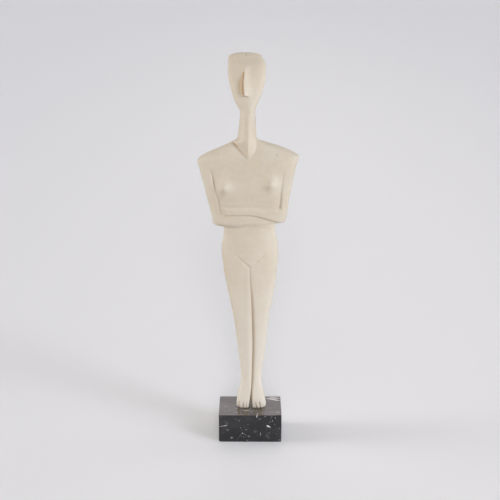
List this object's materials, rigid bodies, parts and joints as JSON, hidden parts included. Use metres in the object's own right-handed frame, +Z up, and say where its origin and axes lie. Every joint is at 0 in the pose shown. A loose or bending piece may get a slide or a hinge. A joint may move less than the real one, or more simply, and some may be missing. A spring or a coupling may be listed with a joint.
{
  "type": "cycladic figurine",
  "caption": "Slender standing figurine with folded arms, oval head and wedge nose, one piece of cream stone on a low black marble block",
  "frame": {"origin": "centre of the plinth's underside, on the table", "axes": "+Z up along the standing figure; the figure faces -Y; +X is the figure's left side, the viewer's right"},
  "size_m": [0.0984, 0.045, 0.3916],
  "materials": {
    "cream_stone": "smooth matt cream stone, no gloss",
    "black_marble": "polished black marble with white veins and grey specks"
  },
  "bodies": {
    "root": {"figurine": "cream_stone", "plinth": "black_marble"}
  },
  "joints": []
}
